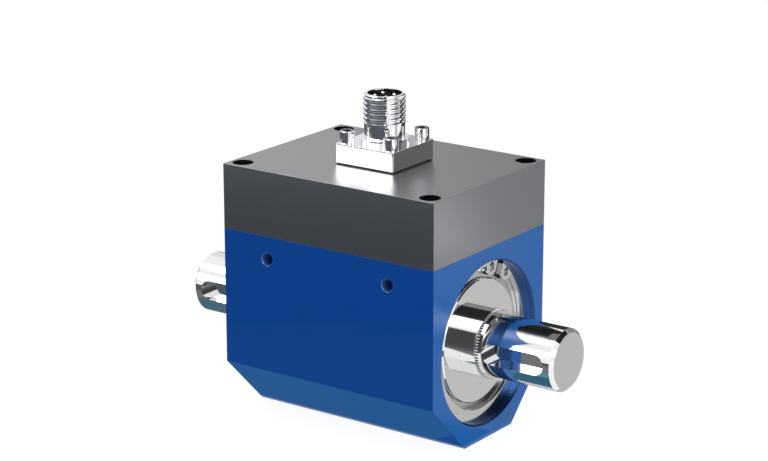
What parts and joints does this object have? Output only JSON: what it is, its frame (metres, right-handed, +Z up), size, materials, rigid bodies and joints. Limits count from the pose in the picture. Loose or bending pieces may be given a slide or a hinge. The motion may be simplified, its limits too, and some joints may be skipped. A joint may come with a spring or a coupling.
{
  "type": "torque sensor",
  "caption": "Rotary torque sensor: chamfered block housing with a keyed shaft running through ball bearings, and an electronics cover with a threaded signal connector on top.",
  "frame": {"origin": "centre of the flat base of the housing, under the middle of its length", "axes": "+X along the shaft towards its drive end, +Z up towards the connector"},
  "size_m": [0.126, 0.056, 0.095],
  "materials": {
    "blue_anodised": "satin blue",
    "grey_anodised": "satin grey",
    "seal_rubber": "matte black",
    "black_screw": "black oxide",
    "bright_plating": "bright nickel plating",
    "insert_plastic": "black moulding",
    "pin_plating": "plated contact",
    "lead_sleeve": "red insulation",
    "board_laminate": "green solder mask",
    "zinc_plating": "zinc plated",
    "chip_plastic": "black moulding",
    "capacitor_can": "bare can",
    "spring_steel": "bright spring steel",
    "ferrite": "sintered ferrite",
    "copper_winding": "enamelled copper",
    "shaft_plating": "bright ground and plated",
    "gauge_foil": "etched foil",
    "bearing_steel": "ground bearing steel",
    "shield_steel": "pressed steel",
    "disc_steel": "satin steel",
    "cage_polymer": "natural polyamide"
  },
  "bodies": {
    "sensor_body": {"housing": "blue_anodised", "electronics_cover": "grey_anodised", "cover_seal": "seal_rubber", "cover_screws": "black_screw", "connector_shell": "bright_plating", "connector_gasket": "seal_rubber", "connector_screws": "bright_plating", "connector_insert": "insert_plastic", "connector_pins": "pin_plating", "connector_leads": "lead_sleeve", "circuit_board": "board_laminate", "board_standoffs": "zinc_plating", "board_screws": "zinc_plating", "processor_chip": "chip_plastic", "smoothing_capacitors": "capacitor_can", "preload_spring": "spring_steel", "stator_core": "ferrite", "stator_coil": "copper_winding", "stator_leads": "lead_sleeve", "drive_outer_ring": "bearing_steel", "drive_shields": "shield_steel", "drive_circlip": "spring_steel", "load_outer_ring": "bearing_steel", "load_shields": "shield_steel", "load_circlip": "spring_steel"},
    "shaft_assembly": {"torsion_shaft": "shaft_plating", "rotor_core": "ferrite", "rotor_coil": "copper_winding", "rotor_board": "board_laminate", "rotor_chips": "chip_plastic", "strain_gauges": "gauge_foil", "drive_inner_ring": "bearing_steel", "drive_seal_disc": "disc_steel", "load_inner_ring": "bearing_steel", "load_seal_disc": "disc_steel"},
    "drive_ball_set": {"drive_balls": "bearing_steel", "drive_cage": "cage_polymer"},
    "load_ball_set": {"load_balls": "bearing_steel", "load_cage": "cage_polymer"}
  },
  "joints": [
    {"name": "shaft_spin", "type": "hinge", "parent": "sensor_body", "child": "shaft_assembly", "pos_m": [0, 0, 0.028], "axis": [1, 0, 0], "continuous": true},
    {"name": "drive_cage_spin", "type": "hinge", "parent": "sensor_body", "child": "drive_ball_set", "pos_m": [0, 0, 0.028], "axis": [1, 0, 0], "continuous": true},
    {"name": "load_cage_spin", "type": "hinge", "parent": "sensor_body", "child": "load_ball_set", "pos_m": [0, 0, 0.028], "axis": [1, 0, 0], "continuous": true}
  ],
  "couplings": [
    {"joint": "drive_cage_spin", "follows": "shaft_spin", "ratio": 0.3815},
    {"joint": "load_cage_spin", "follows": "shaft_spin", "ratio": 0.3815}
  ]
}
